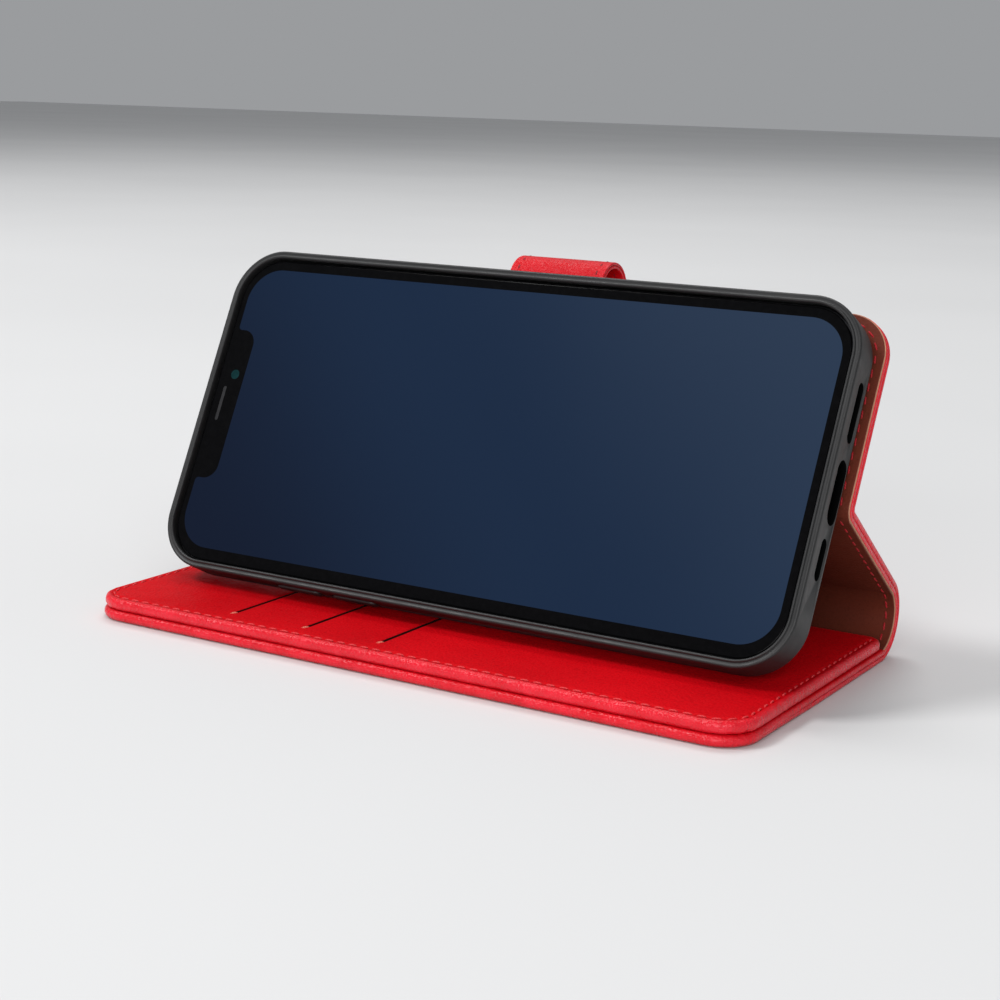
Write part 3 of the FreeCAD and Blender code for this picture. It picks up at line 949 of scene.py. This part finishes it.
def upper_back():
    """Flat panel behind the tray, with the camera window."""
    x0, x1, _, v1 = screen_rect("upper_back_outer_skin")
    crease_end = Vector((0, *back_paths()["crease"][-1][0]))
    v0 = crease_end.dot(UP)
    middle = crease_end.dot(OUT)
    for layer, (low, high, inset, radius, material, slot) in back_layers.items():
        inset *= MM
        profile = edge_profile(low * BACK_HALF, high * BACK_HALF, radius * MM)
        piece = slab(
            f"upper_back_{layer}",
            (x0 + inset, x1 - inset, v0, v1 - inset),
            (0, 0, BACK_CORNER - inset, BACK_CORNER - inset),
            profile,
            lambda x, v, w: on_screen(x, v, middle + w),
            material,
            hole=(window_rect(), WINDOW_CORNER),
            open_low=True,
            steps=16,
        )
        attach(piece, "upper_back", slot, *back_nodes.get(("upper_back", layer), ()))

    panel = inset_rect((x0, x1, v0, v1), (0, 0, BACK_CORNER, BACK_CORNER), LINING_SEAM, True)
    window = inset_rect(window_rect(), WINDOW_CORNER, -WINDOW_SEAM)
    along_panel = evenly(rounded(panel, 16), STITCH_PITCH)
    along_panel = [(p, d) for p, d in along_panel if p.y >= v0 + 0.5 * MM]
    along_window = evenly(rounded(window, 12), STITCH_PITCH)
    outer, inner = -1, 1
    places = [
        (on_screen(p.x, p.y, middle + side * BACK_HALF), on_screen(d.x, d.y, 0), OUT * side)
        for line, side in ((along_panel, outer), (along_panel, inner), (along_window, outer))
        for p, d in line
    ]
    seam = stitches("upper_back_seams", places, lining_thread)
    attach(seam, "upper_back", "thread", "upper_back_stitching")


# ---------------- strap
STRAP_INNER = -0.35 * MM  # faces of the strap, from the fold axes' line
STRAP_JOIN = 0.33 * MM
STRAP_OUTER = 1.0 * MM
STRAP_GAP = 0.03 * MM  # half the shadow line between the two leathers
STRAP_EDGE = 0.28 * MM
STRAP_CORNER = 6.0 * MM  # at the free end
STRAP_SEAM = 1.9 * MM  # from the strap's edge
STRAP_STITCH_PITCH = 2.1 * MM
STRAP_STITCH_LENGTH = 1.5 * MM
STRAP_BURIED = 3.0 * MM  # behind the back, below the root's fold
FIRST_SHARE = 0.35  # of the arch's turn, on the first of the two pieces


def strap_profile():
    """Two leathers sewn back to back, each with a turned edge."""
    lower = edge_profile(STRAP_INNER, STRAP_JOIN - STRAP_GAP, STRAP_EDGE, steps=4)[:-1]
    upper = edge_profile(STRAP_JOIN + STRAP_GAP, STRAP_OUTER, STRAP_EDGE, steps=4)[1:]
    return lower + upper


def strap():
    """Arch that rises from the back, and the end that hangs from it."""
    root = axis_point("strap_root_hinge")
    end = axis_point("strap_flap_hinge")
    tilt = atan2(UP.z, UP.y)
    turn = -(tilt + pi / 2)
    # The arch starts along the back and ends hanging down; its radius follows from its two ends.
    up = Vector((UP.y, UP.z))
    right = Vector((up.y, -up.x))
    radius = (end - root).x / (right.x + 1)
    rise_start = root + up * ((end.y - (root + right * radius).y) / up.y)
    lead = (rise_start - root).length + STRAP_BURIED
    first = walk(
        root - up * STRAP_BURIED, tilt, [(lead, 0, 10), arc(radius, turn * FIRST_SHARE, 10)]
    )
    tail = end.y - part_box("strap_flap_outer_leather")[0].z
    rest = arc(radius, turn * (1 - FIRST_SHARE), 18)
    second = walk(first[-1][0], first[-1][1], [rest, (tail, 0, 24)])
    strap_piece("strap_arch", first, "strap_root_fold")
    strap_piece("strap_flap", second, "strap_magnets", free_end=True)


def strap_piece(name, path, also_replaced, free_end=False):
    """One piece of the strap with its seams; a free end has round corners."""
    x0, x1, _, _ = extent("strap_arch_outer_leather")
    line = [point for point, _ in path]
    run = runs_along(line)

    def narrowing(k):
        past = run[k] - (run[-1] - STRAP_CORNER)
        if not free_end or past <= 0:
            return 0.0
        return STRAP_CORNER - sqrt(max(STRAP_CORNER ** 2 - past ** 2, (0.4 * MM) ** 2))

    piece = strip(
        f"{name}_leather",
        path,
        lambda k: (x0 + narrowing(k), x1 - narrowing(k)),
        lambda k: strap_profile(),
        red_strap,
    )
    places = []
    sunk = 0.1 * MM
    for middle, direction in evenly(line, STRAP_STITCH_PITCH, closed=False):
        if narrowing(nearest(path, middle)) > 0.5 * MM:
            continue
        for x in (x0 + STRAP_SEAM, x1 - STRAP_SEAM):
            for side, level in ((-1, STRAP_INNER + sunk), (1, STRAP_OUTER - sunk)):
                places.append(beside(middle, direction, x, level, side))
    seam = stitches(f"{name}_seams", places, dark_thread, STRAP_STITCH_LENGTH)
    nodes = (f"{name}_inner_leather", f"{name}_outer_leather", also_replaced)
    attach(piece, joined_bodies[name], "red_leather", *nodes, path=path)
    attach(seam, joined_bodies[name], "thread", f"{name}_stitching", path=path)


# ---------------- tray
TRAY_CORNER = 11.5 * MM
TRAY_EDGE = 3.0 * MM  # radius of the tray's back edge
TRAY_FLOOR = 1.2 * MM
# Outer edge, shallow channel, inner ridge and inside wall: (inset, level from the lip's top), mm.
LIP_SHAPE = (
    (0.0, -1.1), (0.0, -0.75), (0.06, -0.5), (0.2, -0.34), (0.4, -0.28), (0.5, -0.3),
    (0.58, -0.36), (1.05, -0.34), (1.14, -0.2), (1.2, -0.08), (1.32, 0.0), (1.46, -0.02),
    (1.6, -0.12), (1.68, -0.3), (1.7, -0.6), (1.7, -0.95), (1.52, -1.0), (1.5, -1.1),
)
# Slots in the end wall: lowest and highest place from the lower side, depth of the middle
# below the lip, and width, in mm. The middle one is for the port, the others for speakers.
END_SLOTS = ((47.25, 58.95, 4.9, 2.3), (31.05, 43.45, 5.15, 4.3), (20.05, 27.85, 4.9, 2.3))
PAD_GAP = 0.25 * MM
PAD_NODES = ("power_button_pad", "volume_up_pad", "volume_down_pad")


def in_top_wall(v):
    """True if a height up the screen is in the tray's upper half."""
    return v > sum(span("phone_tray", UP)) / 2


def tray():
    """Moulded tray with its camera window, end slots and recesses for the pads."""
    rect = screen_rect("phone_tray")
    back, lip = span("phone_tray", OUT)
    floor = back + TRAY_FLOOR
    profile = [(TRAY_EDGE + 0.5 * MM, back)]
    for a in quarter_turn(8):
        profile.append((TRAY_EDGE * (1 - sin(a)), back + TRAY_EDGE * (1 - cos(a))))
    profile += [(i * MM, lip + w * MM) for i, w in LIP_SHAPE]
    profile += [(1.5 * MM, floor + 0.4 * MM), (1.9 * MM, floor), (2.4 * MM, floor)]
    bm = bmesh.new()
    loops = [ring(bm, inset_rect(rect, TRAY_CORNER, i), 20, level) for i, level in profile]
    loops_to_faces(bm, loops)
    hole = ((0.5, back), (0.15, back + 0.1 * MM), (0, back + 0.4 * MM),
            (0, floor - 0.3 * MM), (0.3, floor))
    window = window_rect()
    around = [
        ring(bm, inset_rect(window, WINDOW_CORNER, -grow * MM), 12, level) for grow, level in hole
    ]
    loops_to_faces(bm, around)
    cap(bm, loops[0], around[0])
    cap(bm, loops[-1], around[-1])
    shell = finished(bm, "tray_shell", tray_rubber, sharp=50)
    for cutter in tray_cutters(rect, lip):
        cut(shell, cutter)
    attach(shell, "upper_back", "tray_shell", "phone_tray")


def tray_cutters(rect, lip):
    """Solids to cut out: the slots in the right end, and the recesses for the pads."""
    for low, high, depth, height in END_SLOTS:
        v_range = (rect[2] + low * MM, rect[2] + high * MM)
        yield end_slot(v_range, lip - depth * MM, height * MM, rect[1])
    for node in PAD_NODES:
        x0, x1, v0, v1 = screen_rect(node)
        w0, w1 = span(node, OUT)
        inside, outside = 0.4 * MM, 2 * MM
        below, above = (inside, outside) if in_top_wall(v0) else (outside, inside)
        recess = (x0 - PAD_GAP, x1 + PAD_GAP, v0 - below, v1 + above)
        levels = [(0, w0 - PAD_GAP), (0, w1 + PAD_GAP)]
        yield slab("cutter", recess, 0.3 * MM, levels, on_screen, tray_rubber)


def end_slot(v_range, middle_w, height, x1):
    """Cutter for a slot with round ends through the right end wall; its near-black material becomes painted shade
    on the slot's walls.
    """

    def place(v, w, x):
        return on_screen(x, v, w)

    rect = (*v_range, middle_w - height / 2, middle_w + height / 2)
    profile = [(0, x1 - 3 * MM), (0, x1 - 0.35 * MM), (-0.1 * MM, x1 - 0.15 * MM),
               (-0.35 * MM, x1 + 0.15 * MM), (-0.35 * MM, x1 + 2 * MM)]
    return slab("cutter", rect, height / 2.02, profile, place, slot_painted_shade)


def cut(piece, cutter):
    """Subtracts cutter from piece and removes it."""
    modifier = piece.modifiers.new("cut", "BOOLEAN")
    modifier.operation = "DIFFERENCE"
    modifier.solver = "EXACT"
    modifier.material_mode = "TRANSFER"
    modifier.object = cutter
    graph = bpy.context.evaluated_depsgraph_get()
    mesh = bpy.data.meshes.new_from_object(piece.evaluated_get(graph))
    piece.modifiers.clear()
    piece.data = mesh
    bpy.data.objects.remove(cutter)


def button_pads():
    """Slightly crowned pads in the shell's long walls."""
    for node in PAD_NODES:
        x0, x1, v0, v1 = screen_rect(node)
        w0, w1 = span(node, OUT)
        reach, side = (v1, 1) if in_top_wall(v0) else (v0, -1)

        def place(x, w, level, reach=reach, side=side):
            return on_screen(x, reach + side * level, w)

        profile = [(0.0, -(v1 - v0)), (0.0, -0.4 * MM), (0.06 * MM, -0.15 * MM)]
        profile += [(0.2 * MM, -0.03 * MM), (0.5 * MM, 0.0), (0.9 * MM, 0.0)]
        pad = slab(f"{node}_cover", (x0, x1, w0, w1), 1.2 * MM, profile, place, tray_rubber)
        attach(pad, node, "tray_shell", node)


# ---------------- phone
GLASS_CORNER = 9.4 * MM
GLASS_EDGE = 0.35 * MM
DISPLAY_CORNER = 7.8 * MM
NOTCH_LOW, NOTCH_HIGH = 15.5 * MM, 50.5 * MM  # from the display's lower side
NOTCH_DEPTH = 5.2 * MM
NOTCH_CORNER = 3.4 * MM
NOTCH_MOUTH = 0.9 * MM
ISLAND_CORNER = 5.5 * MM
LENS_RADIUS = 4.6 * MM
# Outlines turned about the lens's axis: (share of the radius, mm above the lowest).
RIM_SHAPE = ((0.78, 0.25), (0.80, 0.02), (0.86, 0.0), (0.94, 0.02), (1.0, 0.1), (1.0, 1.0))
LENS_SHAPE = ((0.0, 0.2), (0.3, 0.21), (0.6, 0.24), (0.79, 0.28), (0.79, 0.9))


def plate(name, node, corner, edge, material, slot, steps=20, rise=0.0):
    """Flat piece of the phone with a rounded edge."""
    low, high = span(node, OUT)
    profile = edge_profile(low, high + rise, edge)
    piece = slab(name, screen_rect(node), corner, profile, on_screen, material, steps=steps)
    attach(piece, "phone", slot, node)


def phone():
    """The glass, the lit display round its notch, and what shows in the notch."""
    node = "phone_front_glass"
    plate("phone_cover_glass", node, GLASS_CORNER, GLASS_EDGE, black_glass, "phone_black_glass")
    top = span(node, OUT)[1]
    rect = screen_rect("phone_display")
    x0, x1, v0, v1 = rect
    high, low, inner = v0 + NOTCH_HIGH, v0 + NOTCH_LOW, x0 + NOTCH_DEPTH
    corners = [(x, v, DISPLAY_CORNER) for x, v in ((x0, v0), (x1, v0), (x1, v1), (x0, v1))]
    corners += [(x0, high, NOTCH_MOUTH), (inner, high, NOTCH_CORNER)]
    corners += [(inner, low, NOTCH_CORNER), (x0, low, NOTCH_MOUTH)]
    bm = bmesh.new()
    loops = [ring(bm, corners, 16, level) for level in (top - 0.1 * MM, top + 0.02 * MM)]
    loops_to_faces(bm, loops)
    cap(bm, loops[0])
    cap(bm, loops[1])
    display = finished(bm, "phone_lit_display", display_picture("display_gradient", rect))
    attach(display, "phone", "phone_screen", "phone_display")

    proud = edge_profile(top - 0.1 * MM, top + 0.03 * MM, 0.02 * MM, flat=0.05 * MM)
    for name, node, corner, material, slot in (
        ("phone_speaker_slit", "phone_earpiece", 0.38, speaker_mesh, "phone_metal"),
        ("phone_selfie_lens", "phone_front_camera", 1.05, lens_glass, "phone_lens"),
    ):
        piece = slab(name, screen_rect(node), corner * MM, proud, on_screen, material)
        attach(piece, "phone", slot, node)


def phone_back():
    """Back glass, camera island and lenses, seen through the window."""
    node = "phone_back_glass"
    plate("phone_rear_glass", node, GLASS_CORNER, GLASS_EDGE, black_glass, "phone_black_glass")
    node, name = "phone_camera_island", "phone_rear_camera_plate"
    plate(name, node, ISLAND_CORNER, 0.5 * MM, phone_metal, "phone_metal", 12, 0.1 * MM)
    x0, x1, v0, v1 = screen_rect("phone_camera_lenses", LENS_RADIUS)
    low = span("phone_camera_lenses", OUT)[0]
    for name, shape, material, nodes in (
        ("phone_rear_lens_rims", RIM_SHAPE, dark_rim, ()),
        ("phone_rear_lenses", LENS_SHAPE, lens_glass, ("phone_camera_lenses",)),
    ):
        bm = bmesh.new()
        for x, v in ((x0, v0), (x1, v1)):
            turned(bm, x, v, shape, LENS_RADIUS, low)
        attach(finished(bm, name, material), "phone", "phone_lens", *nodes)


def turned(bm, x, v, profile, radius, low):
    """Round piece about the screen's normal, from an outline."""
    loops = []
    count = 40
    for share, level in profile:
        r = max(share, 0.001) * radius
        turns = [tau * k / count for k in range(count)]
        level = low + level * MM
        around = [on_screen(x + r * cos(a), v + r * sin(a), level) for a in turns]
        loops.append([bm.verts.new(place) for place in around])
    loops_to_faces(bm, loops)
    bm.faces.new(loops[0])
    bm.faces.new(loops[-1])


# ---------------- stage
# Azimuth from straight in front, elevation and roll, in degrees.
CAMERA_AZIMUTH, CAMERA_ELEVATION, CAMERA_ROLL = 31.04, 13.59, 1.57
CAMERA_DISTANCE = 390 * MM
CAMERA_TARGET = (8.2, 24.0, 21.1)  # mm from the middle of the foot's front edge
CAMERA_LENS = 69.9
CAMERA_SHIFT = (0.0148, 0.0569)
# Soft lights: name, place, size and power.
LIGHTS = (
    ("key", (-1.25, -0.85, 2.0), (0.7, 0.55), 30.0),
    ("right", (1.3, -1.2, 1.6), (1.0, 0.8), 8.0),
    ("top", (-0.7, 1.1, 2.4), (1.6, 1.0), 30.0),
    ("front", (0.6, -2.1, 0.65), (1.7, 0.7), 28.0),
)
LIT_PLACE = Vector((0, 0, 0.03))


def place_turned(name, data, place, turn):
    """Adds a camera or light that looks along a turn's -Z."""
    thing = bpy.data.objects.new(name, data)
    thing.location = place
    thing.rotation_mode = "QUATERNION"
    thing.rotation_quaternion = turn
    scene.collection.objects.link(thing)
    return thing


def camera():
    """Stands to the right and a little above, with a shifted lens."""
    azimuth, elevation = radians(CAMERA_AZIMUTH), radians(CAMERA_ELEVATION)
    target = Vector(CAMERA_TARGET) * MM + Vector((0, cad_low.y, 0))
    level = cos(elevation)
    back = Vector((sin(azimuth) * level, -cos(azimuth) * level, sin(elevation)))
    data = bpy.data.cameras.new("camera")
    data.lens = CAMERA_LENS
    data.shift_x, data.shift_y = CAMERA_SHIFT
    data.clip_start, data.clip_end = 0.01, 50
    roll = Quaternion((0, 0, 1), radians(CAMERA_ROLL))
    turn = (-back).to_track_quat("-Z", "Y") @ roll
    seen = place_turned("camera", data, target + back * CAMERA_DISTANCE, turn)
    scene.camera = seen


def area_light(name, place, size, power):
    """Rectangular light aimed at the object."""
    data = bpy.data.lights.new(name, "AREA")
    data.shape = "RECTANGLE"
    data.size, data.size_y = size
    data.energy = power
    turn = (LIT_PLACE - Vector(place)).to_track_quat("-Z", "Y")
    place_turned(name, data, place, turn)


def stage():
    """Pale floor, even sky and soft lights."""
    mesh = bpy.data.meshes.new("floor")
    half = 6.0
    z = -0.05 * MM
    corners = [(-half, -half, z), (half, -half, z), (half, half, z), (-half, half, z)]
    mesh.from_pydata(corners, [], [(0, 1, 2, 3)])
    n = Nodes("pale_floor")
    tone = n.ramp(n.noise(3.0, 2.0), [(0.3, 0.63), (0.7, 0.66)])
    n.set(Base_Color=tone, Roughness=0.7)
    mesh.materials.append(n.material)
    floor = bpy.data.objects.new("floor", mesh)
    scene.collection.objects.link(floor)
    world = bpy.data.worlds.new("studio")
    world.use_nodes = True
    background = world.node_tree.nodes["Background"]
    background.inputs["Color"].default_value = (0.90, 0.92, 0.95, 1)
    background.inputs["Strength"].default_value = 0.36
    scene.world = world
    scene.view_settings.view_transform = "Standard"
    for light in LIGHTS:
        area_light(*light)


camera()
cover_underside()
cover_face()
cover_seams()
back_sections()
upper_back()
strap()
tray()
button_pads()
phone()
phone_back()
stage()
